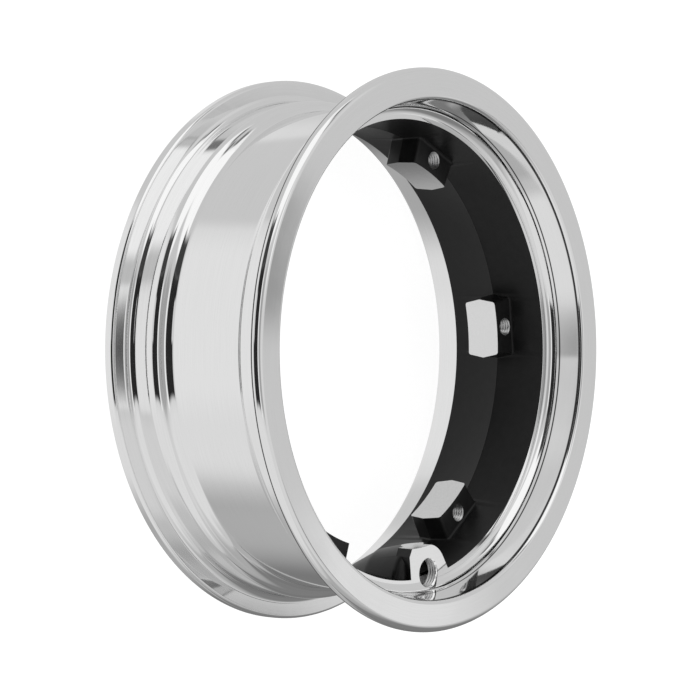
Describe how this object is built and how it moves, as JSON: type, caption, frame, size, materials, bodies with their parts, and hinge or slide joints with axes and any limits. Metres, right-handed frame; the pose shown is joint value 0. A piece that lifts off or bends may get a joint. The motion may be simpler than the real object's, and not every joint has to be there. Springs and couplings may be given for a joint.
{
  "type": "electric scooter rim",
  "caption": "One-piece scooter wheel rim: two tyre flanges, bead seats and a drop centre outside, a drafted inside with drilled lugs for the disc and a boss for the tyre valve.",
  "frame": {"origin": "on the wheel axis, in the plane of the rear flange face that the rim lies on", "axes": "+Z along the wheel axis towards the front flange with the valve hole, +X through the valve boss"},
  "size_m": [0.18, 0.18, 0.0628],
  "materials": {
    "rim": "polished outside, black paint on the cast inside"
  },
  "bodies": {
    "root": {"rim": "rim"}
  },
  "joints": []
}
